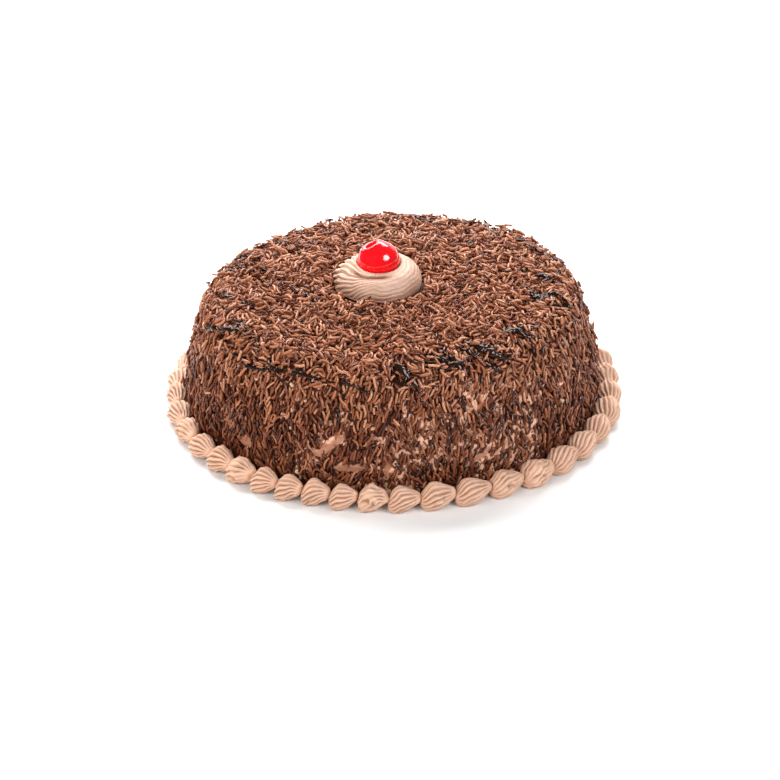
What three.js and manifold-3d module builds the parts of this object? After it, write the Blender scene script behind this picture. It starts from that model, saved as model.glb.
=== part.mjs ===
// Brigadeiro cake: a round cake coated in chocolate sprinkles, a ring of piped shells round its foot,
// and a piped rosette with a cherry on top. Millimetres, +Z up, the middle of the base at the origin.
import * as THREE from "three";
import { mergeVertices } from "three/addons/utils/BufferGeometryUtils.js";
import Module from "manifold-3d";

const wasm = await Module();
wasm.setup();

// Driving dimensions of the cake
const cakeHeight = 68;
const footRadius = 106;
const footHeight = 14;
const wallTopRadius = 100.2;
const wallTopHeight = 44;
const shoulderRadius = 80.5;
const shoulderHeight = 67.2;
const seatRadius = 34;
const cakeSegments = 60;
const wallRows = 3;
const shoulderRows = 6;
const waviness = 0.6;
const riseToRight = 1.5;
const fallToBack = 1.3;

// Driving dimensions of the sprinkles
const sprinkleCount = 112;
const sprinkleRadius = 0.75;
const sprinkleLength = 6.2;
const sprinkleSides = 5;
const sprinkleRise = 0.3;
const sprinkleMargin = 5;

// Driving dimensions of the piped shells
const shellCount = 40;
const shellHeight = 13;
const shellDepth = 13.4;
const shellSink = 0.5;
const shellUnevenness = 0.06;
const shellRidgeDepth = 0.5;
const shellSides = 16;
const shellRidgedSides = 13;
const shellRings = 6;
const shellHeadShare = 0.15;
const shellHeadDrop = 2.6;
const shellNeckShare = 0.24;
const shellNeckTaper = 1.9;
const firstShellAngle = THREE.MathUtils.degToRad(-106.6);
const tightestAngle = THREE.MathUtils.degToRad(-119);
const tightestSpread = THREE.MathUtils.degToRad(37);
const tightening = 0.25;

// Driving dimensions of the rosette and the cherry
const rosettePlace = new THREE.Vector2(-6.5, -2.6);
const rosetteRadius = 22;
const rosetteHeight = 12.5;
const rosetteRidges = 5;
const rosetteRidgeDepth = 0.8;
const rosetteFlare = 1.2;
const rosetteSegments = 32;
const cherryRadius = 11;
const cherryHeight = 20;
const cherryDimpleRadius = 4.2;
const cherryDimpleDepth = 2.4;
const cherryTilt = THREE.MathUtils.degToRad(28);
const cherryTurn = THREE.MathUtils.degToRad(160);
const cherryFloor = 0.6;
const cherryClearance = 0.55;
const gap = 0.3;

const colours = {
  cake: new THREE.Color().setRGB(0.48, 0.3, 0.23, THREE.SRGBColorSpace),
  cream: new THREE.Color().setRGB(0.85, 0.68, 0.58, THREE.SRGBColorSpace),
  cherry: new THREE.Color().setRGB(0.9, 0.06, 0.1, THREE.SRGBColorSpace),
};

// A repeatable row of numbers between 0 and 1
function seededRandom(seed) {
  let state = seed;
  return () => {
    state = (state * 16807) % 2147483647;
    return state / 2147483647;
  };
}

function closedGeometry(geometry) {
  geometry.deleteAttribute("normal");
  geometry.deleteAttribute("uv");
  return mergeVertices(geometry, 1e-3);
}

function solidFrom(geometry) {
  const closed = closedGeometry(geometry);
  return new wasm.Manifold(
    new wasm.Mesh({
      numProp: 3,
      vertProperties: closed.attributes.position.array,
      triVerts: new Uint32Array(closed.index.array),
    }),
  );
}

function geometryFrom(solid) {
  const mesh = solid.getMesh();
  const geometry = new THREE.BufferGeometry();
  geometry.setAttribute("position", new THREE.BufferAttribute(mesh.vertProperties, 3));
  geometry.setIndex(new THREE.BufferAttribute(mesh.triVerts, 1));
  return geometry;
}

// Moves every corner of a geometry to the place that a function gives for it
function reshape(geometry, place) {
  const positions = geometry.attributes.position;
  const corner = new THREE.Vector3();
  for (let index = 0; index < positions.count; index += 1) {
    corner.fromBufferAttribute(positions, index);
    place(corner, index);
    positions.setXYZ(index, corner.x, corner.y, corner.z);
  }
  return geometry;
}

// A turned solid standing on z = 0, from a profile of radius and height that starts on the axis
function turned(profile, segments) {
  return new THREE.LatheGeometry(profile, segments).rotateX(Math.PI / 2);
}

function namedMesh(name, geometry, colour, roughness) {
  const material = new THREE.MeshStandardMaterial({ color: colour, roughness, metalness: 0 });
  const mesh = new THREE.Mesh(geometry, material);
  mesh.name = name;
  return mesh;
}

// The cake: a straight foot behind the shells, a wall that draws in, a round shoulder and a flat seat
const wallCurve = new THREE.CubicBezierCurve(
  new THREE.Vector2(footRadius, footHeight),
  new THREE.Vector2(footRadius, footHeight + 11),
  new THREE.Vector2(wallTopRadius + 2.6, wallTopHeight - 8),
  new THREE.Vector2(wallTopRadius, wallTopHeight),
);
const shoulderCurve = new THREE.CubicBezierCurve(
  new THREE.Vector2(wallTopRadius, wallTopHeight),
  new THREE.Vector2(wallTopRadius - 2, wallTopHeight + 13),
  new THREE.Vector2(shoulderRadius + 11.5, shoulderHeight),
  new THREE.Vector2(shoulderRadius, shoulderHeight),
);

function cakeProfile() {
  return [
    new THREE.Vector2(0, 0),
    new THREE.Vector2(footRadius, 0),
    ...wallCurve.getPoints(wallRows),
    ...shoulderCurve.getPoints(shoulderRows).slice(1),
    new THREE.Vector2(seatRadius, cakeHeight),
    new THREE.Vector2(0, cakeHeight),
  ];
}

// The icing's hand-made unevenness: its wall is wavy, and its rim rises to the right and falls to the back
function unevenCake(corner) {
  const angle = Math.atan2(corner.y, corner.x);
  const share = THREE.MathUtils.smoothstep(corner.z, footHeight, wallTopHeight);
  const reach = THREE.MathUtils.smoothstep(Math.hypot(corner.x, corner.y), seatRadius, shoulderRadius);
  const wave = Math.sin(3 * angle + 3.9) + 0.6 * Math.sin(5 * angle + 5.2);
  const push = waviness * wave * share * reach;
  corner.x += push * Math.cos(angle);
  corner.y += push * Math.sin(angle);
  corner.z += (riseToRight * Math.cos(angle) - fallToBack * Math.sin(angle)) * share * reach;
}

// Spots spread evenly over the top, shoulder and wall, each with its outward direction
function sprinkleSpots() {
  const path = new THREE.CurvePath();
  path.add(new THREE.LineCurve(new THREE.Vector2(2, cakeHeight), new THREE.Vector2(seatRadius, cakeHeight)));
  path.add(
    new THREE.LineCurve(
      new THREE.Vector2(seatRadius, cakeHeight),
      new THREE.Vector2(shoulderRadius, shoulderHeight),
    ),
  );
  path.add(new THREE.CubicBezierCurve(shoulderCurve.v3, shoulderCurve.v2, shoulderCurve.v1, shoulderCurve.v0));
  path.add(new THREE.CubicBezierCurve(wallCurve.v3, wallCurve.v2, wallCurve.v1, wallCurve.v0));
  const steps = 400;
  const areas = [0];
  for (let step = 1; step <= steps; step += 1) {
    areas.push(areas[step - 1] + path.getPointAt(step / steps).x);
  }
  const goldenAngle = Math.PI * (3 - Math.sqrt(5));
  const spots = [];
  let step = 0;
  for (let index = 0; index < sprinkleCount; index += 1) {
    const wanted = ((index + 0.5) / sprinkleCount) * areas[steps];
    while (areas[step] < wanted) step += 1;
    const point = path.getPointAt(step / steps);
    const tangent = path.getTangentAt(step / steps);
    const angle = index * goldenAngle;
    const outward = new THREE.Vector3(Math.cos(angle), Math.sin(angle), 0);
    const along = outward.clone().multiplyScalar(tangent.x).setZ(tangent.y);
    const around = new THREE.Vector3(-outward.y, outward.x, 0);
    const place = outward.clone().multiplyScalar(point.x).setZ(point.y);
    const normal = new THREE.Vector3().crossVectors(along, around);
    spots.push({ place, along, around, normal });
  }
  return spots;
}

function clearOfOtherPieces(place) {
  const fromRosette = Math.hypot(place.x - rosettePlace.x, place.y - rosettePlace.y);
  const aboveShells = place.z > shellHeight + sprinkleMargin;
  return aboveShells && fromRosette > rosetteRadius + rosetteFlare + sprinkleMargin;
}

// A sprinkle is a short rod with pointed ends, half sunk in the icing
function sprinkleSolid(spot, random) {
  const straight = sprinkleLength * (0.8 + 0.2 * random()) - 2 * sprinkleRadius;
  const rod = new THREE.CapsuleGeometry(sprinkleRadius, straight, 1, sprinkleSides);
  const turn = Math.PI * random();
  const direction = spot.along.clone().multiplyScalar(Math.cos(turn));
  direction.addScaledVector(spot.around, Math.sin(turn));
  const side = new THREE.Vector3().crossVectors(direction, spot.normal);
  const matrix = new THREE.Matrix4().makeBasis(side, direction, spot.normal);
  const middle = spot.place.clone();
  unevenCake(middle);
  middle.addScaledVector(spot.normal, sprinkleRise);
  matrix.setPosition(middle);
  return solidFrom(rod.applyMatrix4(matrix));
}

function makeCake() {
  const core = reshape(turned(cakeProfile(), cakeSegments), unevenCake);
  const random = seededRandom(4127);
  const sprinkles = sprinkleSpots()
    .filter((spot) => clearOfOtherPieces(spot.place))
    .map((spot) => sprinkleSolid(spot, random));
  const fused = sprinkles.reduce((whole, sprinkle) => whole.add(sprinkle), solidFrom(core));
  return namedMesh("cake", geometryFrom(fused), colours.cake, 0.55);
}

// Shells are piped head to tail, closest together at the front left
function shellSlots() {
  const slots = [];
  let total = 0;
  const evenStep = (2 * Math.PI) / shellCount;
  for (let index = 0; index < shellCount; index += 1) {
    const turn = firstShellAngle + total + evenStep / 2 - tightestAngle;
    const away = Math.atan2(Math.sin(turn), Math.cos(turn));
    const width = evenStep * (1 - tightening * Math.exp(-((away / tightestSpread) ** 4)));
    slots.push({ start: total, width });
    total += width;
  }
  const fit = (2 * Math.PI) / total;
  return slots.map((slot) => ({
    middle: firstShellAngle + (slot.start + slot.width / 2) * fit,
    width: slot.width * fit,
  }));
}

// A shell lies along X: a fat ridged head at -X that narrows to a thin neck at +X
function shellGeometry(length, height, depth, random) {
  const geometry = new THREE.SphereGeometry(1, shellSides, shellRings);
  const ridgePhase = random() < 0.5 ? 0 : 1;
  const neckLift = 0.8 + 0.5 * random();
  const lowest = THREE.MathUtils.degToRad(-60);
  const ridgedSpan = THREE.MathUtils.degToRad(210);
  return reshape(geometry, (corner, index) => {
    const side = index % (shellSides + 1);
    const ring = Math.floor(index / (shellSides + 1));
    const polar = (Math.PI * ring) / shellRings;
    const along = -Math.cos(polar);
    const pastHead = along + shellHeadShare;
    const headGirth = Math.sqrt(Math.max(0, 1 - (pastHead / (1 - shellHeadShare)) ** 2));
    const pastHeadShare = Math.max(0, pastHead / (1 + shellHeadShare));
    const neckGirth = 1 - (1 - shellNeckShare) * pastHeadShare ** shellNeckTaper;
    const girth = ring === shellRings ? 0 : pastHead < 0 ? headGirth : neckGirth;
    const ridged = side <= shellRidgedSides;
    const inside = side > 0 && side < shellRidgedSides;
    const plainSides = shellSides - shellRidgedSides;
    const turn = ridged
      ? lowest + (ridgedSpan * side) / shellRidgedSides
      : lowest + ridgedSpan + ((2 * Math.PI - ridgedSpan) * (side - shellRidgedSides)) / plainSides;
    const valley = inside && side % 2 === ridgePhase ? shellRidgeDepth : 0;
    const across = (depth / 2 - valley) * girth;
    const upward = (height / 2 - valley) * girth;
    const drop = shellHeadDrop * THREE.MathUtils.smoothstep(-along, 0.2, 1);
    const middle = height / 2 - shellSink + neckLift * (1 - neckGirth) - drop;
    corner.x = (along * length) / 2;
    corner.y = -across * Math.cos(turn);
    corner.z = Math.max(0, middle + upward * Math.sin(turn));
  });
}

function makeShells() {
  const ring = new THREE.Group();
  const random = seededRandom(9301);
  const uneven = () => 1 + shellUnevenness * (2 * random() - 1);
  shellSlots().forEach((slot, index) => {
    const height = shellHeight * uneven();
    const depth = shellDepth * uneven();
    const ringRadius = footRadius + gap + depth / 2;
    const length = 2 * ringRadius * Math.tan(slot.width / 2) - gap;
    const geometry = closedGeometry(shellGeometry(length, height, depth, random));
    const name = "shell_" + String(index + 1).padStart(2, "0");
    const shell = namedMesh(name, geometry, colours.cream, 0.5);
    shell.position.set(ringRadius * Math.cos(slot.middle), ringRadius * Math.sin(slot.middle), 0);
    shell.rotation.z = slot.middle + Math.PI / 2;
    ring.add(shell);
  });
  return ring;
}

// The rosette: a ring of cream piped round and round, its ridges climbing by one ridge a turn, with a
// round seat for the cherry. It flares on the left, where the piping was broken off.
function makeRosette() {
  const crest = cherryRadius + 1.8;
  const seat = cherryRadius + cherryClearance;
  const outerCurve = new THREE.CubicBezierCurve(
    new THREE.Vector2(rosetteRadius - 0.8, 0),
    new THREE.Vector2(rosetteRadius + 1.2, rosetteHeight * 0.28),
    new THREE.Vector2(rosetteRadius - 1, rosetteHeight * 0.85),
    new THREE.Vector2(crest, rosetteHeight),
  );
  const outerRows = rosetteRidges * 3;
  const seatRows = 4;
  const profile = [new THREE.Vector2(0, 0), ...outerCurve.getPoints(outerRows)];
  for (let row = 0; row <= seatRows; row += 1) {
    const drop = (Math.PI / 2) * (0.06 + (0.94 * row) / seatRows);
    const radius = row === seatRows ? 0 : seat * Math.cos(drop);
    profile.push(new THREE.Vector2(radius, cherryFloor + seat * (1 - Math.sin(drop))));
  }
  const geometry = turned(profile, rosetteSegments);
  reshape(geometry, (corner, index) => {
    const row = index % profile.length;
    const onOuterSide = row > 1 && row < outerRows + 1;
    if (!onOuterSide) return;
    const angle = Math.atan2(corner.y, corner.x);
    const flare = Math.max(0, -Math.cos(angle - 0.35)) ** 3;
    const climb = ((row - 1) / outerRows) * rosetteRidges + angle / (2 * Math.PI);
    const ridge = rosetteRidgeDepth * (1 + flare) * Math.cos(2 * Math.PI * climb);
    const radius = Math.hypot(corner.x, corner.y);
    const grown = (radius + ridge + rosetteFlare * flare) / radius;
    corner.x *= grown;
    corner.y *= grown;
  });
  const rosette = namedMesh("rosette", closedGeometry(geometry), colours.cream, 0.5);
  rosette.position.set(rosettePlace.x, rosettePlace.y, cakeHeight + gap);
  return rosette;
}

// The cherry: a slightly flattened ball with a round dimple where its stem was
function makeCherry() {
  const profile = [];
  const rows = 9;
  const rimHeight = cherryHeight * 0.47;
  for (let row = 0; row <= rows; row += 1) {
    const turn = -Math.PI / 2 + (row / rows) * Math.PI * 0.86;
    const radius = row === 0 ? 0 : cherryRadius * Math.cos(turn);
    profile.push(new THREE.Vector2(radius, (cherryHeight / 2) * Math.sin(turn)));
  }
  profile.push(new THREE.Vector2(cherryDimpleRadius, rimHeight));
  profile.push(new THREE.Vector2(cherryDimpleRadius * 0.5, rimHeight - cherryDimpleDepth * 0.8));
  profile.push(new THREE.Vector2(0, rimHeight - cherryDimpleDepth));
  const geometry = closedGeometry(turned(profile, 16));
  const cherry = namedMesh("cherry", geometry, colours.cherry, 0.12);
  const axis = new THREE.Vector3(-Math.sin(cherryTurn), Math.cos(cherryTurn), 0);
  cherry.setRotationFromAxisAngle(axis, cherryTilt);
  const middle = cakeHeight + gap + cherryFloor + cherryRadius + cherryClearance;
  cherry.position.set(rosettePlace.x, rosettePlace.y, middle);
  return cherry;
}

const cake = new THREE.Group();
cake.name = "brigadeiro_cake";
cake.add(makeCake(), makeShells(), makeRosette(), makeCherry());

export default cake;
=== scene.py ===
import math

import bpy
import numpy as np
from mathutils import Matrix, Vector, noise


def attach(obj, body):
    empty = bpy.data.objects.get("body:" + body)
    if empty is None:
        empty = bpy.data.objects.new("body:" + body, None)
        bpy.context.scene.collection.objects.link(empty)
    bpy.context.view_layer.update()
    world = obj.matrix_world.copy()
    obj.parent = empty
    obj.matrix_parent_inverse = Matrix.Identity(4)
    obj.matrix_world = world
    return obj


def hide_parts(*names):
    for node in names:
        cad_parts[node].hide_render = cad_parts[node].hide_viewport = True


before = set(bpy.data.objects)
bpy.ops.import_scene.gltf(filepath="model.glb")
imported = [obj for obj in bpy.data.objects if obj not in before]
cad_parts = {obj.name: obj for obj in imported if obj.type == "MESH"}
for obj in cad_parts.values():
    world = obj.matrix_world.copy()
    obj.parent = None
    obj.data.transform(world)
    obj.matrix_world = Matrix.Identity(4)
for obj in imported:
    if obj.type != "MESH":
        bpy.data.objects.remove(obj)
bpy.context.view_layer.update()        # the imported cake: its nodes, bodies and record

millimetre = 0.001
fullTurn = 2 * math.pi


# Shared helpers

def photoColour(red, green, blue):
    # colours are picked as 0 to 255 and wanted as linear light
    def straighten(value):
        value = value / 255
        return value / 12.92 if value <= 0.04045 else ((value + 0.055) / 1.055) ** 2.4
    return (straighten(red), straighten(green), straighten(blue), 1.0)


def between(pair, share):
    first, last = pair
    return first + (last - first) * share


def smoothStep(value, low, high):
    share = np.clip((value - low) / (high - low), 0.0, 1.0)
    return share * share * (3.0 - 2.0 * share)


def hump(value, rise, fall):
    # 1 between the rise and the fall, 0 outside them
    return smoothStep(value, *rise) * (1.0 - smoothStep(value, *fall))


def evenTurn(count):
    return np.linspace(0.0, fullTurn, count, endpoint=False)


def lumps(x, y, z=0.0):
    return noise.noise(Vector((x, y, z)))


def lumpsOver(points):
    found = [noise.noise(Vector(point)) for point in points.reshape(-1, 3)]
    return np.array(found).reshape(points.shape[:-1])


def layered(points, layers):
    # noise of several sizes together: width of the lumps, and their share
    return sum(share * lumpsOver(points / size) for size, share in layers)


def shake(points, size, step=(9, 0, 0), start=(0, 0, 0)):
    # a small move for each point: the same noise read at three places
    spots = points / size + np.array(start)
    return np.stack([lumpsOver(spots + axis * np.array(step)) for axis in range(3)], axis=-1)


def ripple(count, step, row):
    # noise along a line
    return np.array([lumps(index * step, row) for index in range(count)])


def evenRandom(seed):
    # the same row of numbers as the solids use, so sizes agree piece by piece
    state = seed
    while True:
        state = (state * 16807) % 2147483647
        yield state / 2147483647


def placePiece(name, mesh, material, replaced):
    mesh.materials.append(material)
    piece = bpy.data.objects.new(name, mesh)
    bpy.context.scene.collection.objects.link(piece)
    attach(piece, "root")
    if replaced:
        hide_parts(*replaced)
    return piece


def addPiece(name, vertices, faces, material, replaced=()):
    mesh = bpy.data.meshes.new(name)
    mesh.from_pydata([tuple(v) for v in np.asarray(vertices) * millimetre], [], faces)
    mesh.polygons.foreach_set("use_smooth", [True] * len(mesh.polygons))
    mesh.update()
    return placePiece(name, mesh, material, replaced)


def paintPoints(piece, name, values):
    layer = piece.data.attributes.new(name, "FLOAT", "POINT")
    layer.data.foreach_set("value", np.asarray(values, np.float32))


def tubeFaces(rows, columns, offset=0, joined=False):
    # quads between rows of points, each row closing on itself, and the last row on the first if joined
    faces = []
    for row in range(rows if joined else rows - 1):
        low = offset + row * columns
        high = offset + (row + 1) % rows * columns
        for column in range(columns):
            after = (column + 1) % columns
            faces.append((low + column, low + after, high + after, high + column))
    return faces


def cappedFaces(rows, columns, offset=0, rising=False):
    # a tube closed by a tip at each end; the two tips come after its rows
    last = offset + (rows - 1) * columns
    tip = offset + rows * columns
    faces = tubeFaces(rows, columns, offset)
    for column in range(columns):
        after = (column + 1) % columns
        faces.append((tip, offset + after, offset + column))
        faces.append((tip + 1, last + column, last + after))
    return faces if rising else [tuple(reversed(face)) for face in faces]


def ringAbout(side, up, count):
    # a ring of points about each place, from its two directions
    turn = evenTurn(count)[None, :, None]
    return side[:, None, :] * np.cos(turn) + up[:, None, :] * np.sin(turn)


def runLength(line):
    return np.concatenate([[0.0], np.cumsum(np.linalg.norm(np.diff(line, axis=0), axis=1))])


def bezierPoints(corners, steps):
    share = np.linspace(0.0, 1.0, steps)[:, None]
    first, second, third, last = (np.array(corner) for corner in corners)
    back = 1.0 - share
    return back**3 * first + 3 * back**2 * share * second + 3 * back * share**2 * third + share**3 * last


# Materials

def feed(tree, made, inputs):
    # each input takes another node's output, or a value of its own
    for name, source in inputs.items():
        if isinstance(source, bpy.types.NodeSocket):
            tree.links.new(source, made.inputs[name])
        else:
            made.inputs[name].default_value = source


def addNode(tree, kind, inputs, **settings):
    made = tree.nodes.new(kind)
    for key, value in settings.items():
        setattr(made, key, value)
    feed(tree, made, inputs)
    return made.outputs


def addMath(tree, operation, first, second, clamped=False):
    return addNode(tree, "ShaderNodeMath", {0: first, 1: second}, operation=operation, use_clamp=clamped)[0]


def addNoise(tree, scale, detail, roughness=0.5):
    place = addNode(tree, "ShaderNodeTexCoord", {})["Object"]
    inputs = {"Vector": place, "Scale": scale, "Detail": detail, "Roughness": roughness}
    return addNode(tree, "ShaderNodeTexNoise", inputs)["Fac"]


def addBump(tree, shader, height, strength, distance):
    inputs = {"Height": height, "Strength": strength, "Distance": distance}
    feed(tree, shader, {"Normal": addNode(tree, "ShaderNodeBump", inputs)["Normal"]})


def makeMottleGroup():
    # two colours mixed by a shade and soft clouds, with a roughness that follows the clouds
    group = bpy.data.node_groups.new("mottle", "ShaderNodeTree")
    sockets = [
        ("INPUT", "NodeSocketColor", ("Light", "Deep")),
        ("INPUT", "NodeSocketFloat", ("Shade", "Cloud Scale", "Cloud Amount")),
        ("INPUT", "NodeSocketFloat", ("Roughness Low", "Roughness High")),
        ("OUTPUT", "NodeSocketColor", ("Color",)),
        ("OUTPUT", "NodeSocketFloat", ("Roughness", "Cloud")),
    ]
    for side, kind, labels in sockets:
        for label in labels:
            group.interface.new_socket(label, in_out=side, socket_type=kind)
    given = addNode(group, "NodeGroupInput", {})
    clouds = addNoise(group, given["Cloud Scale"], 4.0, 0.6)
    weighted = addMath(group, "MULTIPLY", addMath(group, "SUBTRACT", clouds, 0.5), given["Cloud Amount"])
    total = addMath(group, "ADD", weighted, given["Shade"], True)
    colours = {"Factor": total, "A": given["Light"], "B": given["Deep"]}
    colour = addNode(group, "ShaderNodeMix", colours, data_type="RGBA")["Result"]
    limits = {"Value": clouds, "To Min": given["Roughness Low"], "To Max": given["Roughness High"]}
    roughness = addNode(group, "ShaderNodeMapRange", limits)["Result"]
    addNode(group, "NodeGroupOutput", {"Color": colour, "Roughness": roughness, "Cloud": clouds})
    return group


mottle = makeMottleGroup()


def startMaterial(name):
    material = bpy.data.materials.new(name)
    material.use_nodes = True
    return material, material.node_tree, material.node_tree.nodes["Principled BSDF"]


def mottledMaterial(name, finish, shade):
    # shade leads from light to deep: a painted layer's name, or an even value
    material, tree, shader = startMaterial(name)
    if isinstance(shade, str):
        shade = addNode(tree, "ShaderNodeAttribute", {}, attribute_name=shade)["Fac"]
    scale, amount = finish["clouds"]
    low, high = finish["rough"]
    inputs = {"Light": finish["light"], "Deep": finish["deep"], "Shade": shade,
              "Cloud Scale": scale, "Cloud Amount": amount, "Roughness Low": low, "Roughness High": high}
    mottled = addNode(tree, "ShaderNodeGroup", inputs, node_tree=mottle)
    feed(tree, shader, {"Base Color": mottled["Color"], "Roughness": mottled["Roughness"]})
    feed(tree, shader, finish["surface"])
    return material, tree, shader, mottled


# Ridges and grooves of the piped cream; the deep colour is painted shade in the grooves
creamColours = {
    # one cream in two colours as painted light: the rosette's bluer, as if lit from above, the shells' warmer
    "shells": {"light": photoColour(226, 183, 155), "deep": photoColour(128, 74, 48)},
    "rosette": {"light": photoColour(222, 186, 163), "deep": photoColour(132, 82, 58)},
}
creamFinish = {
    "clouds": (180.0, 0.3),            # scale and amount
    "rough": (0.42, 0.58),
    "surface": {
        "Subsurface Weight": 0.08,
        "Subsurface Radius": (1.0, 0.55, 0.35),
        "Subsurface Scale": 0.0012,
        "Specular IOR Level": 0.35,
    },
    "grain": (2600.0, 3.0),            # scale and detail
    "grainBump": (0.25, 0.0003),       # strength, and depth in metres
}


def makeCreamMaterial(use):
    finish = {**creamFinish, **creamColours[use]}
    # the groove layer lays the deep colour into the grooves as painted shade
    material, tree, shader = mottledMaterial("buttercream_" + use, finish, "groove")[:3]
    addBump(tree, shader, addNoise(tree, *finish["grain"]), *finish["grainBump"])
    return material


# The cake's outline, shared by the icing, the sprinkles and the drizzle. Sizes are in millimetres.
cakeForm = {
    "height": 68.0,
    "footRadius": 106.0,
    "footHeight": 14.0,
    "wallTopRadius": 100.2,
    "wallTopHeight": 44.0,
    "shoulderRadius": 80.5,
    "shoulderHeight": 67.2,
    "shoulderPull": (11.5, 2.0, 13.0),     # of the curve: out from the top, in and up from the wall
    "wallPull": (2.6, 8.0, 11.0),          # out and down from the shoulder, up from the foot
    "seatRadius": 34.0,
    "waviness": 0.6,
    "riseToRight": 1.5,
    "fallToBack": 1.3,
    "turnOver": (94.0, 110.0),             # distance from the middle where the top turns into the wall
}


def cakeOutline():
    # from the middle of the top, over the shoulder and down the wall
    form = cakeForm
    high = form["height"]
    edge, edgeHeight = form["shoulderRadius"], form["shoulderHeight"]
    wide, top = form["wallTopRadius"], form["wallTopHeight"]
    foot, low = form["footRadius"], form["footHeight"]
    out, back, up = form["shoulderPull"]
    shoulder = [(edge, edgeHeight), (edge + out, edgeHeight), (wide - back, top + up), (wide, top)]
    out, down, up = form["wallPull"]
    wall = [(wide, top), (wide + out, top - down), (foot, low + up), (foot, low)]
    points = np.concatenate([
        [(0.0, high), (form["seatRadius"], high)],
        bezierPoints(shoulder, 60),
        bezierPoints(wall, 60)[1:],
        [(foot, 0.0)],
    ])
    arcs = runLength(points)
    fine = np.linspace(0.0, arcs[-1], 400)
    radius = np.interp(fine, arcs, points[:, 0])
    height = np.interp(fine, arcs, points[:, 1])
    outward = np.gradient(radius, fine)
    upward = np.gradient(height, fine)
    length = np.hypot(outward, upward)
    return fine, radius, height, outward / length, upward / length


outlineArc, outlineRadius, outlineHeight, outlineOut, outlineUp = cakeOutline()


def onCake(arc, angle):
    # place, downhill direction, direction round the cake, and outward direction
    form = cakeForm
    radius = np.interp(arc, outlineArc, outlineRadius)
    height = np.interp(arc, outlineArc, outlineHeight)
    out = np.interp(arc, outlineArc, outlineOut)
    up = np.interp(arc, outlineArc, outlineUp)
    cosine = np.cos(angle)
    sine = np.sin(angle)
    share = smoothStep(height, form["footHeight"], form["wallTopHeight"])
    reach = smoothStep(radius, form["seatRadius"], form["shoulderRadius"])
    wave = np.sin(3 * angle + 3.9) + 0.6 * np.sin(5 * angle + 5.2)      # as in the solid
    grown = radius + form["waviness"] * wave * share * reach
    tilt = (form["riseToRight"] * cosine - form["fallToBack"] * sine) * share * reach
    place = np.stack([grown * cosine, grown * sine, height + tilt], axis=-1)
    downhill = np.stack([out * cosine, out * sine, up], axis=-1)
    around = np.stack([-sine, cosine, np.zeros_like(sine)], axis=-1)
    outward = np.stack([-up * cosine, -up * sine, out], axis=-1)
    return place, downhill, around, outward


def planArc(points):
    # distance from the middle along the surface, for points of the ground plan
    radius = np.hypot(points[:, 0], points[:, 1])
    rising = np.maximum.accumulate(outlineRadius)
    return np.interp(radius, rising, outlineArc)


def wallShare(arc):
    # 0 on the top, 1 on the wall, changing over on the shoulder
    return smoothStep(arc, *cakeForm["turnOver"])


# Spots of the wall where the coat is rubbed off: angle and height of the middle, half length, half width,
# slant in degrees, and how bare it is
bareSpots = [
    (-110, 44, 15, 9, 10, 0.35),
    (-109, 26, 20, 2.5, 36, 1.02),
    (-102, 17, 11, 2.8, 6, 1.2),
    (-92, 19, 7, 2.4, 78, 1.2),
    (-85, 18, 2.4, 2.0, 0, 1.0),
    (-66, 20, 9, 2.2, 30, 1.0),
    (-58, 50, 3.2, 2.2, 40, 0.9),
    (-75, 53, 3.0, 2.0, 70, 0.9),
    (-70, 30, 3.0, 1.8, 60, 0.9),
    (-143, 25, 6.5, 4.4, 50, 1.3),
    (-134, 18, 6.0, 4.0, 20, 1.3),
    (-120, 54, 2.8, 2.2, 0, 1.25),
    (-30, 22, 4.0, 2.0, 50, 0.9),
    (20, 20, 8, 2.4, 30, 1.0),
    (62, 26, 10, 2.6, 25, 1.0),
    (95, 40, 10, 7.0, 10, 0.6),
    (130, 18, 8, 2.4, 15, 1.0),
    (172, 24, 6, 2.4, 60, 1.0),
]

wallGrid = {
    "columns": 1320,
    "rows": 136,
    "thinPlace": (math.radians(-62), 34.0),      # angle and height where the coat is thinnest
    "thinSpread": (math.radians(24), 26.0),
    "thinEdge": (0.3, 1.3),
    "thinning": (0.25, 0.7),                     # how thin it is in other places, and how much more there
    "clusters": ((24.0, 0.9), (9.0, 0.45)),      # width and share of the lumps that thin it elsewhere
    "ragged": ((4.0, 0.35), (1.6, 0.4)),         # of those that tear the edges of the bare spots
    "spotEdge": (0.5, 1.1),
    "flecks": ((3.1, 1.0), (1.6, 0.6)),          # and of the pale flecks
    "fleck": 0.45,                               # higher leaves fewer flecks
    "fleckInThin": 0.55,
    "fleckEdge": 0.1,
    "spotPale": (0.55, 1.5),                     # how pale the bare spots are, and how fast it fades
}


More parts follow.
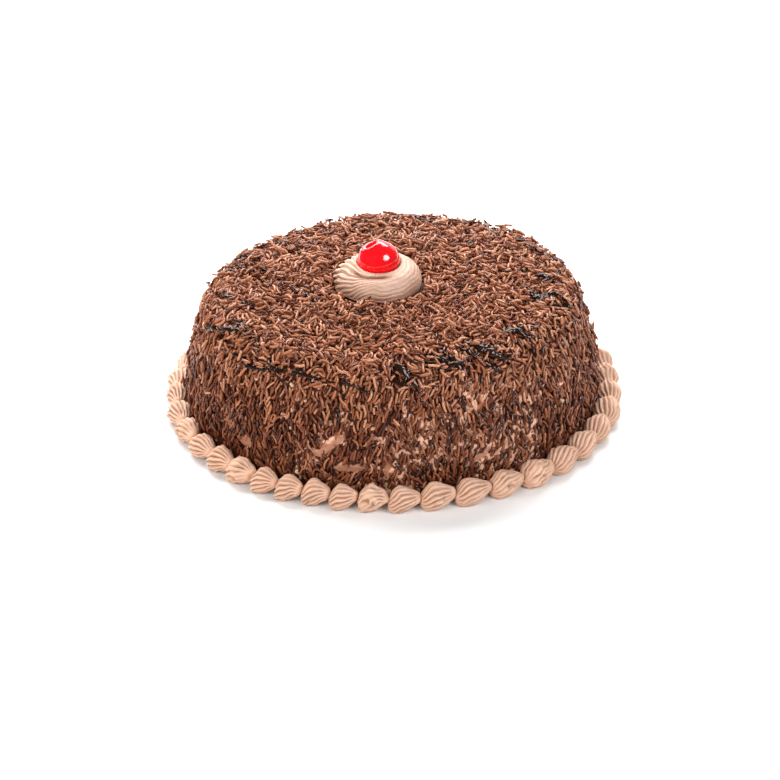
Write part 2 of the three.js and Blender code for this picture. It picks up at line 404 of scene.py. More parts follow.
def makeWallMaps():
    # by angle and height: patches of bare icing, stretches with few sprinkles, and flecks of pale icing
    grid = wallGrid
    angle, height = np.meshgrid(np.linspace(-math.pi, math.pi, grid["columns"], endpoint=False),
                                np.linspace(0.0, cakeForm["height"], grid["rows"]), indexing="ij")
    reach = cakeForm["footRadius"]
    spots = np.stack([reach * np.cos(angle), reach * np.sin(angle), height], axis=-1)
    ragged = layered(spots, grid["ragged"])
    bare = np.zeros_like(angle)
    for middle, level, long, wide, slant, strength in bareSpots:
        turned = (angle - math.radians(middle) + math.pi) % fullTurn - math.pi
        across = turned * reach
        rise = height - level
        tilt = math.radians(slant)
        first = (across * math.cos(tilt) + rise * math.sin(tilt)) / long
        second = (rise * math.cos(tilt) - across * math.sin(tilt)) / wide
        spot = 1.0 - smoothStep(np.hypot(first, second) + ragged, *grid["spotEdge"])
        bare = np.maximum(bare, strength * spot)
    away = np.hypot((angle - grid["thinPlace"][0]) / grid["thinSpread"][0],
                    (height - grid["thinPlace"][1]) / grid["thinSpread"][1])
    least, more = grid["thinning"]
    thin = more * (1.0 - smoothStep(away, *grid["thinEdge"])) + least
    thin = np.clip(thin + layered(spots, grid["clusters"]), 0.0, 1.0)
    edge = grid["fleck"] - grid["fleckInThin"] * smoothStep(thin, 0.1, 1.0)
    flecks = smoothStep(layered(spots, grid["flecks"]), edge, edge + grid["fleckEdge"])
    pale, fade = grid["spotPale"]
    return {"bare": bare, "thin": thin, "pale": np.maximum(pale * bare**fade, flecks)}


wallMaps = makeWallMaps()


def fromWallMap(layer, angle, height):
    grid = wallGrid
    column = ((angle + math.pi) / fullTurn * grid["columns"]).astype(int) % grid["columns"]
    row = np.clip(height / cakeForm["height"] * grid["rows"], 0, grid["rows"] - 1).astype(int)
    return wallMaps[layer][column, row]


# The icing under the coat
icingFinish = {
    "light": photoColour(232, 182, 154),         # clean cream
    "deep": photoColour(158, 106, 80),           # smeared cream
    # painted shade: the dark that shows in the gaps between the sprinkles
    "gapShade": photoColour(72, 36, 24),
    "clouds": (420.0, 0.9),
    "rough": (0.55, 0.75),
    "surface": {"Specular IOR Level": 0.15},
    "bump": (0.3, 0.0006),
    "fray": (560.0, 3.0),        # scale and detail of the cream's torn edge
    "edge": (0.78, 1.05),        # where the painted gap shade turns to cream
}
icingRelief = {
    "rings": (14, 84),           # over the top, and over the shoulder and wall
    "topReach": 92.0,            # distance from the middle where the closer rings start
    "segments": 700,
    "bed": (-2.2, -1.75),        # level under the coat, on the top and on the wall
    "lump": 0.35,
    "lumpSize": 9.0,
    "stroke": 0.35,              # spatula strokes on the wall
    "strokeSize": (15.0, 15.0, 2.4),
    "swell": 0.9,                # how far the pale flecks rise between the sprinkles of the wall
    "streakDip": 0.1,            # and how much less in the streaks
    "streakSmear": 0.8,
    "plain": 0.1,                # paleness and smear where there is no fleck or streak
}


def makeIcingMaterial():
    # painted shade between the sprinkles, light cream where the coat is rubbed off
    finish = icingFinish
    material, tree, shader, mottled = mottledMaterial("icing", finish, "smear")
    bare = addNode(tree, "ShaderNodeAttribute", {}, attribute_name="bare")["Fac"]
    frayed = addMath(tree, "ADD", bare, addNoise(tree, *finish["fray"]))
    low, high = finish["edge"]
    edge = addNode(tree, "ShaderNodeMapRange", {"Value": frayed, "From Min": low, "From Max": high})["Result"]
    colours = {"Factor": edge, "A": finish["gapShade"], "B": mottled["Color"]}
    feed(tree, shader, {"Base Color": addNode(tree, "ShaderNodeMix", colours, data_type="RGBA")["Result"]})
    addBump(tree, shader, mottled["Cloud"], *finish["bump"])
    return material


def bedLevel(arc):
    return between(icingRelief["bed"], wallShare(arc))


def makeIcing():
    relief = icingRelief
    topRings, wallRings = relief["rings"]
    arcs = np.concatenate([np.linspace(0.0, relief["topReach"], topRings, endpoint=False)[1:],
                           np.linspace(relief["topReach"], outlineArc[-1], wallRings)])
    rows = len(arcs)
    columns = relief["segments"]
    arc = np.repeat(arcs, columns)
    angle = np.tile(evenTurn(columns), rows)
    place, downhill, around, outward = onCake(arc, angle)
    pale = fromWallMap("pale", angle, place[:, 2])
    streak = fromWallMap("bare", angle, place[:, 2])
    level = bedLevel(arc) + relief["lump"] * lumpsOver(place / relief["lumpSize"])
    stroke = relief["stroke"] * lumpsOver(place / np.array(relief["strokeSize"]))
    level += (stroke + relief["swell"] * (pale - relief["streakDip"] * streak)) * wallShare(arc)
    level *= smoothStep(place[:, 2], 0.0, cakeForm["footHeight"])
    place = place + outward * level[:, None]
    place[-columns:, 2] = 0.0
    tips = [[0.0, 0.0, cakeForm["height"] + relief["bed"][0]], [0.0, 0.0, 0.0]]
    vertices = np.concatenate([place, tips])
    faces = cappedFaces(rows, columns)
    piece = addPiece("icing", vertices, faces, makeIcingMaterial(), ["cake"])
    # how far the painted gap shade gives way to cream: none on the top, little on the wall, more in flecks
    # and rubbed spots
    plain = relief["plain"]
    bare = wallShare(arc) * between((plain, 1.0), pale)
    paintPoints(piece, "bare", np.concatenate([bare, [0.0, 1.0]]))
    paintPoints(piece, "smear", np.concatenate([plain + relief["streakSmear"] * streak, [plain, plain]]))
    print("icing:", len(faces), "faces")


# Sprinkles: rods dropped one by one, each resting on what lies under it
sprinkleCoat = {
    "seed": 41,
    "tries": 34000,
    "choices": (4, 3),            # spots and headings that each try chooses from
    "cell": 0.4,                  # mm, of the map of heights
    "sides": 5,
    "radius": (0.57, 0.77),
    "length": (3.2, 7.2),
    "lengthSpread": (2.2, 1.7),
    "bend": 0.85,                 # mm, on one of the length below
    "bendLength": 5.0,
    "bendLimit": 1.5,
    "slimmer": 0.03,              # how much slimmer they are on the wall
    "full": (1.3, 0.6),           # how thick the coat gets before a spot counts as full, top and wall
    "underStrands": 0.68,         # share of the tries made before the drizzle goes on
    "offStrands": 0.22,           # share of those that would lie on the drizzle that is left out
    "lowest": 7.0,                # the coat ends behind the shells
    "sink": (0.2, 0.4),           # share of the radius pressed in, top and wall
    "steepest": (0.55, 0.25),     # slope of a sprinkle on the heap, in the middle and at the rim
    "levelling": (70.0, 86.0),    # distance from the middle where that changes
    "lean": 0.42,                 # how unevenly the sprinkles of the wall point down, in radians
    "downhill": 0.85,             # share of them that point down
    "drift": 0.9,                 # how much neighbours lean the same way
    "driftSize": (16.0, 16.0, 20.0),
    "sparse": (0.34, 0.26),       # share of the tries left out on the wall, and more where it is thin
    "bareness": 1.6,              # how well the bare spots stay bare
    "barest": 0.97,               # share left out in the barest
    "avoidBare": 4.0,             # mm that a heading over a bare spot counts as higher
    "rim": (74.0, 106.0),         # distance from the middle, over the rim
    "bridge": 0.7,                # how hollow a sprinkle may lie there
    "standing": 0.006,            # share that sticks up out of the heap
    "standingLean": (0.25, 0.5),
    "standingLift": 0.15,         # share of its length
    "standingReach": (31.0, 70.0),       # only this far from the rosette, and this near the middle
    "offRosette": (23.4, 1.2, 3.2),      # distance kept from it, more on a heap, and more in front
    "topFrom": 60.0,              # height above which a sprinkle is on the top
    "footTo": (8.0, 36.0),        # heights over which the foot's darker mix, painted shade, gives way to the wall's
    "topMix": 13.0,               # how much further down than the shoulder the mix of the top reaches
}
rosettePlace = (-6.5, -2.6)

# The kinds of sprinkle: share of the top, the wall and its foot, shine, roughness, and the colours that its
# sprinkles lie between. The wall's mix is darker than the top's, partly painted shade and partly sprinkles
# pressed into the cream; the foot's mix is darker still as painted shade, and is also used where the coat is
# thin
sprinkleClouds = (900.0, 0.5)      # scale and amount
sprinkleKinds = {
    "bitter": {"shares": (0.05, 0.16, 0.19), "shine": 0.36, "rough": (0.14, 0.26),
               "deep": photoColour(60, 27, 15), "light": photoColour(86, 42, 25)},
    "dark": {"shares": (0.14, 0.40, 0.42), "shine": 0.26, "rough": (0.2, 0.36),
             "deep": photoColour(92, 45, 26), "light": photoColour(116, 61, 37)},
    "plain": {"shares": (0.27, 0.30, 0.28), "shine": 0.32, "rough": (0.26, 0.42),
              "deep": photoColour(120, 65, 39), "light": photoColour(146, 83, 52)},
    "milk": {"shares": (0.32, 0.11, 0.09), "shine": 0.36, "rough": (0.26, 0.42),
             "deep": photoColour(147, 87, 57), "light": photoColour(173, 109, 74)},
    "pale": {"shares": (0.22, 0.03, 0.02), "shine": 0.36, "rough": (0.26, 0.42),
             "deep": photoColour(168, 108, 76), "light": photoColour(196, 137, 103)},
}

# Drizzle strands, each through a few places of the ground plan, with its half thickness
drizzleStrands = [
    (0.75, [(-65, 61), (-53, 42), (-41, 26)]),
    (0.70, [(-59, 56), (-49, 49), (-39, 46)]),
    (0.85, [(-40, 73), (-33, 63), (-27, 54)]),
    (1.30, [(-87, 23), (-80, 22), (-74, 18), (-64, 11)]),
    (1.15, [(-88, -5), (-82, -13), (-76, -19), (-67, -30)]),
    (1.35, [(-94, -24), (-86, -37), (-78, -46), (-67, -57)]),
    (1.25, [(-79, -55), (-70, -67), (-60, -75), (-48, -82), (-35, -89)]),
    (1.20, [(-27, -92), (-20, -94), (-12, -97)]),
    (1.60, [(0, -89), (5, -93), (12, -96)]),
    (1.65, [(18, -84), (27, -86), (37, -86)]),
    (1.75, [(35, -75), (45, -78), (55, -77)]),
    (1.60, [(54, -60), (63, -62), (72, -60)]),
    (1.80, [(68, -21), (80, -29), (90, -28)]),
    (1.55, [(74, 0), (84, -6), (92, -2)]),
    (1.30, [(66, 43), (76, 34), (85, 20)]),
    (0.70, [(33, -20), (40, -25), (47, -31)]),
    (0.80, [(-50, -12), (-42, -19), (-37, -27)]),
    (1.00, [(44, 77), (53, 67), (63, 53)]),
    (1.10, [(10, 85), (17, 78), (27, 67)]),
    (0.90, [(-14, 84), (-6, 78), (0, 70)]),
    (1.00, [(28, 82), (36, 76), (45, 68)]),
    (1.20, [(20, -79), (27, -83), (33, -90)]),
    (1.20, [(38, -82), (46, -74), (54, -71)]),
    (1.10, [(55, -66), (63, -57), (70, -54)]),
    (1.20, [(71, -32), (79, -24), (87, -20)]),
    (1.00, [(77, -9), (84, 1), (90, 7)]),
    (1.10, [(14, -86), (23, -90), (32, -86)]),
    (1.20, [(30, -77), (41, -82), (52, -82)]),
    (0.90, [(-4, -86), (3, -96), (9, -90)]),
    (1.00, [(50, -67), (58, -62), (66, -64)]),
    (1.10, [(70, -26), (82, -22), (92, -33)]),
    (0.90, [(-84, -43), (-76, -42), (-70, -52)]),
    (0.80, [(-62, -70), (-52, -83), (-42, -82)]),
]
drizzleForm = {
    "light": photoColour(42, 21, 15),
    "deep": photoColour(16, 8, 5),
    "clouds": (420.0, 0.9),
    "rough": (0.1, 0.24),
    "surface": {"Specular IOR Level": 0.3, "Specular Tint": (1.0, 0.78, 0.68, 1.0)},
    "step": 0.8,                  # mm from ring to ring
    "sides": 10,
    "sway": 0.9,
    "swayStep": 0.19,
    "rest": 0.12,                 # share of its thickness that its middle lies above the heap
    "dip": 0.4,                   # mm that it hangs into hollows of the heap
    "crown": 0.3,                 # share of its thickness that it adds to the heap
    "swell": ((0.31, 5.7, 1.0), (0.83, 3.1, 0.5)),      # step, start and share of its thicker places
    "fullness": 0.95,
    "slimmest": 0.25,
    "tips": (0.3, 4.0),           # thickness at its ends, and rings to full thickness
    "flatness": 0.65,             # height for its width
    "grain": 0.36,                # share of its thickness
    "grainSize": 1.3,
}


def strandPath(places):
    # a smooth line through the places, as even steps of the ground plan
    points = np.array(places, float)
    ends = np.concatenate([[2 * points[0] - points[1]], points, [2 * points[-1] - points[-2]]])
    share = np.linspace(0.0, len(points) - 1 - 1e-6, 24 * len(points))
    index = share.astype(int)
    t = (share - index)[:, None]
    a, b, c, d = (ends[index + shift] for shift in range(4))
    curve = 0.5 * (2 * b + (c - a) * t + (2 * a - 5 * b + 4 * c - d) * t**2 + (3 * b - a - 3 * c + d) * t**3)
    run = runLength(curve)
    even = np.linspace(0.0, run[-1], max(6, int(run[-1] / drizzleForm["step"])))
    return np.stack([np.interp(even, run, curve[:, 0]), np.interp(even, run, curve[:, 1])], axis=-1)


def newBed():
    # the coat's thickness over the cake, as a map laid out from the middle of the top
    size = 2 * (int(outlineArc[-1] / sprinkleCoat["cell"]) + 24)
    return {"depth": np.zeros((size, size)), "taken": np.zeros((size, size), bool)}


def bedSpots(bed, arc, angle):
    cell = sprinkleCoat["cell"]
    half = len(bed["depth"]) // 2
    row = (arc * np.sin(angle)) / cell + half
    column = (arc * np.cos(angle)) / cell + half
    return row.astype(int), column.astype(int)


def layStrands(bed):
    form = drizzleForm
    strands = []
    for number, (thick, places) in enumerate(drizzleStrands):
        plan = strandPath(places)
        arc = planArc(plan) + form["sway"] * ripple(len(plan), form["swayStep"], number * 7.3)
        angle = np.arctan2(plan[:, 1], plan[:, 0])
        under = bed["depth"][bedSpots(bed, arc, angle)]
        rest = np.convolve(np.pad(under, 3, mode="edge"), np.ones(7) / 7, mode="valid")
        level = np.maximum(rest, under - form["dip"]) + thick * form["rest"]
        for wide in np.linspace(-thick, thick, 7):
            for outward, sideways in ((wide, 0.0), (0.0, wide)):
                spots = bedSpots(bed, arc + outward, angle + sideways / np.maximum(arc, 1.0))
                bed["depth"][spots] = np.maximum(bed["depth"][spots], level + form["crown"] * thick)
                bed["taken"][spots] = True
        strands.append((arc, angle, level, thick))
    return strands


def drawTries(random):
    coat = sprinkleCoat
    tries = coat["tries"]
    spots, headings = coat["choices"]
    usable = outlineHeight > coat["lowest"]
    areas = np.cumsum(outlineRadius[usable])
    areas = areas / areas[-1]
    return {
        "arcs": np.interp(random.random((tries, spots)), areas, outlineArc[usable]),
        "angles": random.random((tries, spots)) * fullTurn - math.pi,
        "turns": random.random((tries, headings)),
        "leanings": random.normal(0.0, coat["lean"], (tries, headings)),
        "radius": between(coat["radius"], random.random(tries)),
        "length": between(coat["length"], random.beta(*coat["lengthSpread"], tries)),
        "chance": random.random((tries, 4)),
    }


def underRod(arc, angle, heading, reach, wide):
    # where points along and across a sprinkle lie on the cake
    ring = np.interp(arc, outlineArc, outlineRadius)
    cosine = np.cos(heading)
    sine = np.sin(heading)
    return arc + reach * cosine - wide * sine, angle + (reach * sine + wide * cosine) / ring


def laySprinkles():
    coat = sprinkleCoat
    tries = coat["tries"]
    bed = newBed()
    random = np.random.default_rng(coat["seed"])
    drawn = drawTries(random)
    # the heap under a sprinkle is felt along and across it
    samples = np.linspace(-0.92, 0.92, 9)
    widths = np.array([-0.7, 0.0, 0.7])
    rise = np.sqrt(1 - widths**2)
    # it rests on one spot before its middle and one after
    before = samples[:4, None]
    after = samples[None, 5:]
    weightBefore = after / (after - before)
    weightAfter = -before / (after - before)
    # and it raises the heap over its own length and width
    fineSamples = np.linspace(-1.0, 1.0, 19)[:, None]
    fineWidths = np.linspace(-0.9, 0.9, 5)[None, :]
    fineRise = np.sqrt(1 - fineWidths**2)
    nearest, onHeap, inFront = coat["offRosette"]
    laid = []
    strands = []
    for number in range(tries):
        if number == int(coat["underStrands"] * tries):
            strands = layStrands(bed)
        arcs = drawn["arcs"][number]
        angles = drawn["angles"][number]
        onWall = wallShare(arcs)
        filled = bed["depth"][bedSpots(bed, arcs, angles)] / between(coat["full"], onWall)
        best = int(np.argmin(filled))
        if filled[best] > 1.0:
            continue
        arc = arcs[best]
        angle = angles[best]
        steep = onWall[best]
        place = onCake(np.array(arc), np.array(angle))[0]
        fromRosette = math.hypot(place[0] - rosettePlace[0], place[1] - rosettePlace[1])
        toRosette = math.atan2(place[1] - rosettePlace[1], place[0] - rosettePlace[0])
        clear = nearest + onHeap * filled[best] + rosetteBulge(toRosette)
        clear = clear + inFront * max(0.0, -math.sin(toRosette))
        if place[2] > coat["topFrom"] and fromRosette < clear:
            continue
        chance = drawn["chance"][number]
        radius = drawn["radius"][number] * (1.0 - coat["slimmer"] * steep)
        half = drawn["length"][number] / 2
        # of a few headings, the one that lies lowest is taken
        leaning = drawn["leanings"][number] + coat["drift"] * lumps(*(place / np.array(coat["driftSize"])))
        turns = drawn["turns"][number]
        headings = np.where(turns < coat["downhill"] * steep, leaning, turns * math.pi)
        alongArc, alongAngle = underRod(arc, angle, headings[:, None, None], samples[None, :, None] * half,
                                        widths[None, None, :] * radius)
        spots = bedSpots(bed, alongArc, alongAngle)
        if chance[1] < coat["offStrands"] and bed["taken"][spots].any():
            continue
        covered = np.zeros(len(headings))
        if steep > 0.0:
            alongHeight = np.interp(alongArc, outlineArc, outlineHeight)
            bare = fromWallMap("bare", alongAngle, alongHeight).mean(axis=(1, 2))
            covered = coat["bareness"] * steep * bare
            thin = fromWallMap("thin", np.array(angle), place[2])
            if number > tries * (1.0 - steep * (coat["sparse"][0] + coat["sparse"][1] * thin)):
                continue
        support = (bed["depth"][spots] + radius * rise).max(axis=2)
        resting = (support[:, :4, None] * weightBefore + support[:, None, 5:] * weightAfter).reshape(-1, 16)
        middles = np.maximum(resting.max(axis=1), support[:, 4])
        way = int(np.argmin(middles + coat["avoidBare"] * covered))
        heading = headings[way]
        hollow = middles[way] - support[way, 4] if coat["rim"][0] < arc < coat["rim"][1] else 0.0
        if chance[0] < min(coat["barest"], covered[way]) or hollow > coat["bridge"]:
            continue
        left, right = divmod(int(resting[way].argmax()), 4)
        right += 5
        slope = (support[way, right] - support[way, left]) / ((samples[right] - samples[left]) * half)
        steepest = float(np.interp(arc, coat["levelling"], coat["steepest"]))
        slope = float(np.clip(slope, -steepest, steepest))
        middle = middles[way] - between(coat["sink"], steep) * radius
        farOff, central = coat["standingReach"]
        if arc < central and fromRosette > farOff and chance[2] < coat["standing"]:
            least, more = coat["standingLean"]
            slope += (least + more * chance[3]) * (1.0 if chance[3] > 0.5 else -1.0)
            middle += 2 * coat["standingLift"] * half * abs(slope)
        reach = fineSamples * half
        spots = bedSpots(bed, *underRod(arc, angle, heading, reach, fineWidths * radius))
        bed["depth"][spots] = np.maximum(bed["depth"][spots], middle + slope * reach + radius * fineRise)
        laid.append((arc, angle, heading, middle + bedLevel(arc), slope, radius, 2 * half))
    print("sprinkles laid:", len(laid))
    return np.array(laid), strands, random


def makeDrizzle(strands):
    form = drizzleForm
    sides = form["sides"]
    vertices = []
    faces = []
    for number, (arc, angle, level, thick) in enumerate(strands):
        count = len(arc)
        place, downhill, around, outward = onCake(arc, angle)
        middle = place + outward * (level + bedLevel(arc))[:, None]
        forward = np.gradient(middle, axis=0)
        forward /= np.linalg.norm(forward, axis=1)[:, None]
        swell = sum(share * ripple(count, step, number * row) for step, row, share in form["swell"])
        swell = np.maximum(form["fullness"] + swell, form["slimmest"])
        ends = np.minimum(np.arange(count), np.arange(count)[::-1])
        thinnest, rings = form["tips"]
        swell = swell * np.clip(thinnest + ends / rings, 0.0, 1.0)
        ring = ringAbout(np.cross(forward, outward), form["flatness"] * outward, sides)
        points = (middle[:, None, :] + ring * (thick * swell)[:, None, None]).reshape(-1, 3)
        points += form["grain"] * thick * shake(points, form["grainSize"])
        offset = sum(len(part) for part in vertices)
        last = offset + (count - 1) * sides
        vertices.append(points)
        faces += tubeFaces(count, sides, offset)
        faces.append(tuple(reversed(range(offset, offset + sides))))
        faces.append(tuple(range(last, last + sides)))
    material = mottledMaterial("drizzle", form, 0.5)[0]
    addPiece("drizzle", np.concatenate(vertices), faces, material)
    print("drizzle:", len(strands), "strands")


# A sprinkle's rings, as place along its half length and share of its radius; its flat pattern has caps
rodStations = ((-1.0, 0.0), (-0.86, 0.84), (-0.3, 1.0), (0.3, 1.0), (0.86, 0.84), (1.0, 0.0))
rodCap = 0.14


def rodPattern(sides, bands):
    # corners of one sprinkle's faces, where each face starts, and where its corners lie in the flat pattern
    corners = []
    starts = []
    flat = []
    end = 1 + bands * sides
    last = end + sides

    def addFace(points, spots):
        starts.append(len(corners))
        corners.extend(points)
        flat.extend(spots)

    for corner in range(sides):
        after = (corner + 1) % sides
        west = corner / sides
        east = (corner + 1) / sides
        middle = (west + east) / 2
        addFace((0, 1 + after, 1 + corner), ((middle, 0.0), (east, rodCap), (west, rodCap)))
        for band in range(bands):
            low = 1 + band * sides
            high = low + sides
            south, north = (between((rodCap, 1.0 - rodCap), edge / bands) for edge in (band, band + 1))
            addFace((low + corner, low + after, high + after, high + corner),
                    ((west, south), (east, south), (east, north), (west, north)))
        south = 1.0 - rodCap
        addFace((last, end + corner, end + after), ((middle, 1.0), (west, south), (east, south)))
    return np.array(corners), np.array(starts), np.array(flat)


def rodPoints(laid, bends, twists):
    place, downhill, around, outward = onCake(laid[:, 0], laid[:, 1])
    heading, level, slope, radius, length = laid[:, 2:].T[:, :, None]
    axis = np.cos(heading) * downhill + np.sin(heading) * around + slope * outward
    axis /= np.linalg.norm(axis, axis=1)[:, None]
    side = np.cross(axis, outward)
    side /= np.linalg.norm(side, axis=1)[:, None]
    up = np.cross(side, axis)
    middle = place + level * outward
    bow = (np.cos(twists)[:, None] * side + np.sin(twists)[:, None] * up * 0.35) * bends[:, None]
    circle = ringAbout(side, up, sprinkleCoat["sides"])
    rings = []
    for share, girth in rodStations:
        centre = (middle + axis * (length / 2 * share) + bow * (0.5 - share * share))[:, None, :]
        rings.append(centre + circle * (radius * girth)[:, None, :] if girth else centre)
    return np.concatenate(rings, axis=1)


def sprinkleMesh(name, laid, bends, twists, shades, material):
    sides = sprinkleCoat["sides"]
    count = len(laid)
    points = rodPoints(laid, bends, twists)
    perPiece = points.shape[1]
    pattern, starts, flat = rodPattern(sides, len(rodStations) - 3)
    corners = (pattern[None, :] + perPiece * np.arange(count)[:, None]).ravel()
    begin = (starts[None, :] + len(pattern) * np.arange(count)[:, None]).ravel()
    # each sprinkle has a tile of its own when its colours are baked, with a margin round it
    tiles = math.ceil(math.sqrt(count))
    tile = np.stack([np.arange(count) % tiles, np.arange(count) // tiles], axis=-1)
    flat = ((tile[:, None, :] + 0.1 + 0.8 * flat[None, :, :]) / tiles).reshape(-1, 2)
    mesh = bpy.data.meshes.new(name)
    mesh.vertices.add(count * perPiece)
    mesh.vertices.foreach_set("co", (points * millimetre).astype(np.float32).ravel())
    mesh.loops.add(len(corners))
    mesh.loops.foreach_set("vertex_index", corners.astype(np.int32))
    mesh.polygons.add(len(begin))
    mesh.polygons.foreach_set("loop_start", begin.astype(np.int32))
    mesh.polygons.foreach_set("use_smooth", np.ones(len(begin), bool))
    mesh.uv_layers.new(name="OFBake").uv.foreach_set("vector", flat.astype(np.float32).ravel())
    mesh.update(calc_edges=True)
    mesh.validate()
    piece = placePiece(name, mesh, material, ["cake"])
    paintPoints(piece, "shade", np.repeat(shades, perPiece))


def makeSprinkleMaterial(kind):
    look = sprinkleKinds[kind]
    finish = {**look, "clouds": sprinkleClouds, "surface": {"Specular IOR Level": look["shine"]}}
    return mottledMaterial("sprinkle_" + kind, finish, "shade")[0]


def makeSprinkles():
    coat = sprinkleCoat
    laid, strands, random = laySprinkles()
    count = len(laid)
    onTop, onWall, shadedFoot = np.array([look["shares"] for look in sprinkleKinds.values()]).T
    height = np.interp(laid[:, 0], outlineArc, outlineHeight)
    # painted shade: the darker mix of the foot low on the wall, and where the coat is thin
    low = 1.0 - smoothStep(height, *coat["footTo"])
    low = np.maximum(low, fromWallMap("thin", laid[:, 1], height))[:, None]
    shares = onTop + (onWall + (shadedFoot - onWall) * low - onTop) * wallShare(laid[:, :1] - coat["topMix"])
    kinds = (random.random((count, 1)) > np.cumsum(shares, axis=1)[:, :-1]).sum(axis=1)
    bends = np.clip(random.normal(0.0, 1.0, count), -coat["bendLimit"], coat["bendLimit"])
    bends = coat["bend"] * bends * (laid[:, 6] / coat["bendLength"]) ** 2
    twists = random.random(count) * fullTurn
    shades = random.random(count)
    for number, kind in enumerate(sprinkleKinds):
        chosen = kinds == number
        sprinkleMesh("sprinkles_" + kind, laid[chosen], bends[chosen], twists[chosen], shades[chosen],
                     makeSprinkleMaterial(kind))
        print("sprinkles", kind, int(chosen.sum()))
    return strands


# Piped shells: a fat ridged head that narrows to a neck under the next one
shellRing = {
    "count": 40,
    "height": 13.0,
    "depth": 13.4,
    "sink": 0.5,
    "unevenness": 0.06,
    "gap": 0.3,
    "first": math.radians(-106.6),
    "tightest": math.radians(-119),
    "spread": math.radians(37),
    "tightening": 0.25,
    "headShare": 0.15,
    "headRoundness": 2.5,
    "headDrop": 2.6,
    "neckShare": 0.24,
    "neckTaper": 1.55,
    "neckLift": (0.8, 0.5),  # least, and how much more by chance
    "ridges": 14,
    "ridgeDepth": 0.36,      # share of the girth
    "curl": -0.4,            # turn of the ridges from neck to head
    "curlSpread": 0.35,
    "fullness": 1.05,
    "lump": (0.5, 1.6),      # mm, and how much more on a torn shell
    "lumpSize": 4.0,
    "grain": (0.1, 4.0),
    "grainSize": 1.3,
    "holes": 2,              # at most, where air broke through the cream
    "holeDepth": 1.7,
    "underside": (0.05, 0.3),     # mm that it clears the table by, least and more at its edge
    "tuck": 0.7,             # how far the neck runs under the next head
    "smear": 0.1,            # share of the ridges lost, and more on the torn shells below
    "torn": {2: 0.7, 6: 0.45, 7: 0.65, 13: 0.5, 18: 0.65, 24: 0.4, 29: 0.7, 34: 0.4, 37: 0.6},
    "rows": 26,
    "sides": 80,
}


def shellSlots():
    ring = shellRing
    even = fullTurn / ring["count"]
    starts = []
    widths = []
    total = 0.0
    for number in range(ring["count"]):
        turned = ring["first"] + total + even / 2 - ring["tightest"]
        away = math.atan2(math.sin(turned), math.cos(turned))
        width = even * (1 - ring["tightening"] * math.exp(-((away / ring["spread"]) ** 4)))
        starts.append(total)
        widths.append(width)
        total += width
    fit = fullTurn / total
    return [(ring["first"] + (start + width / 2) * fit, width * fit) for start, width in zip(starts, widths)]


def grooveShape(turn):
    # 0 on a rounded ridge, 1 at the bottom of a narrow groove
    return (1.0 - np.abs(np.sin(turn / 2))) ** 1.2


def shellPoints(length, height, depth, number, neckLift, smear):
    ring = shellRing
    polar = np.linspace(0.0, math.pi, ring["rows"] + 1)[1:-1]
    along = -np.cos(polar)[:, None]           # -1 at the head, 1 at the neck
    turn = evenTurn(ring["sides"])
    pastHead = along + ring["headShare"]
    bow = np.abs(pastHead / (1 - ring["headShare"])) ** ring["headRoundness"]
    head = np.sqrt(np.clip(1 - bow, 0.0, 1.0))
    taper = np.clip(pastHead / (1 + ring["headShare"]), 0.0, 1.0) ** ring["neckTaper"]
    neck = 1 - (1 - ring["neckShare"]) * taper
    girth = np.where(pastHead < 0, head, neck) * np.clip((1.02 - along) / 0.1, 0.3, 1.0)
    seed = number * 31.7
    twist = ring["curl"] + ring["curlSpread"] * lumps(seed, 1.3)
    groove = grooveShape(ring["ridges"] * (turn + twist * along + 0.7 * number)) * smoothStep(girth, 0.3, 0.7)
    # smeared shells have lost part of their ridges
    spots = np.stack(np.broadcast_arrays(1.6 * along + seed, 1.3 * np.cos(turn), 1.3 * np.sin(turn)), axis=-1)
    groove = groove * (1.0 - smear * smoothStep(lumpsOver(spots), -0.3, 0.1))
    swell = girth * (ring["fullness"] - ring["ridgeDepth"] * groove)
    x = along * length / 2 + np.zeros_like(swell)
    x = x + ring["tuck"] * smoothStep(x, 0.0, length / 2)
    y = -depth / 2 * swell * np.cos(turn)
    drop = ring["headDrop"] * smoothStep(-along, 0.2, 1.0)
    middle = height / 2 - ring["sink"] + neckLift * (1 - neck) - drop
    z = middle + height / 2 * swell * np.sin(turn)
    points = np.stack([x, y, z], axis=-1).reshape(-1, 3)
    start = (seed, 0, 0)
    lump, grain = (least * (1.0 + more * smear) for least, more in (ring["lump"], ring["grain"]))
    points = (points + lump * shake(points, ring["lumpSize"], (0, 9, 0), start)
              + grain * shake(points, ring["grainSize"], (0, 9, 0), start))
    # painted shade: dark in the grooves, and in the holes below
    dark = groove.ravel()
    for hole in range(ring["holes"]):
        if smear < 0.4 and lumps(seed + 7.7, hole * 3.9) < 0.15:
            continue
        sideways = 0.22 * length * lumps(seed, hole + 0.5)
        upward = height * (0.45 + 0.3 * lumps(seed, hole + 4.5))
        away = np.linalg.norm(points - np.array([sideways, -depth * 0.46, upward]), axis=1)
        near = np.exp(-(away / (1.0 + 0.8 * lumpsOver(points / 1.1 + np.array(start)))) ** 4)
        points[:, 1] += ring["holeDepth"] * near
        dark = np.maximum(dark, near)
    # the underside settles flat on the table
    low = points[:, 2]
    least, more = ring["underside"]
    points[:, 2] = np.where(low < 0.6, least + more * smoothStep(low, -2.0, 0.6), low)
    headTip = [-length / 2, 0.0, middle[0, 0]]
    neckTip = [length / 2 + ring["tuck"], 0.0, middle[-1, 0]]
    return np.concatenate([points, [headTip, neckTip]]), np.concatenate([dark, [0.5, 0.3]])


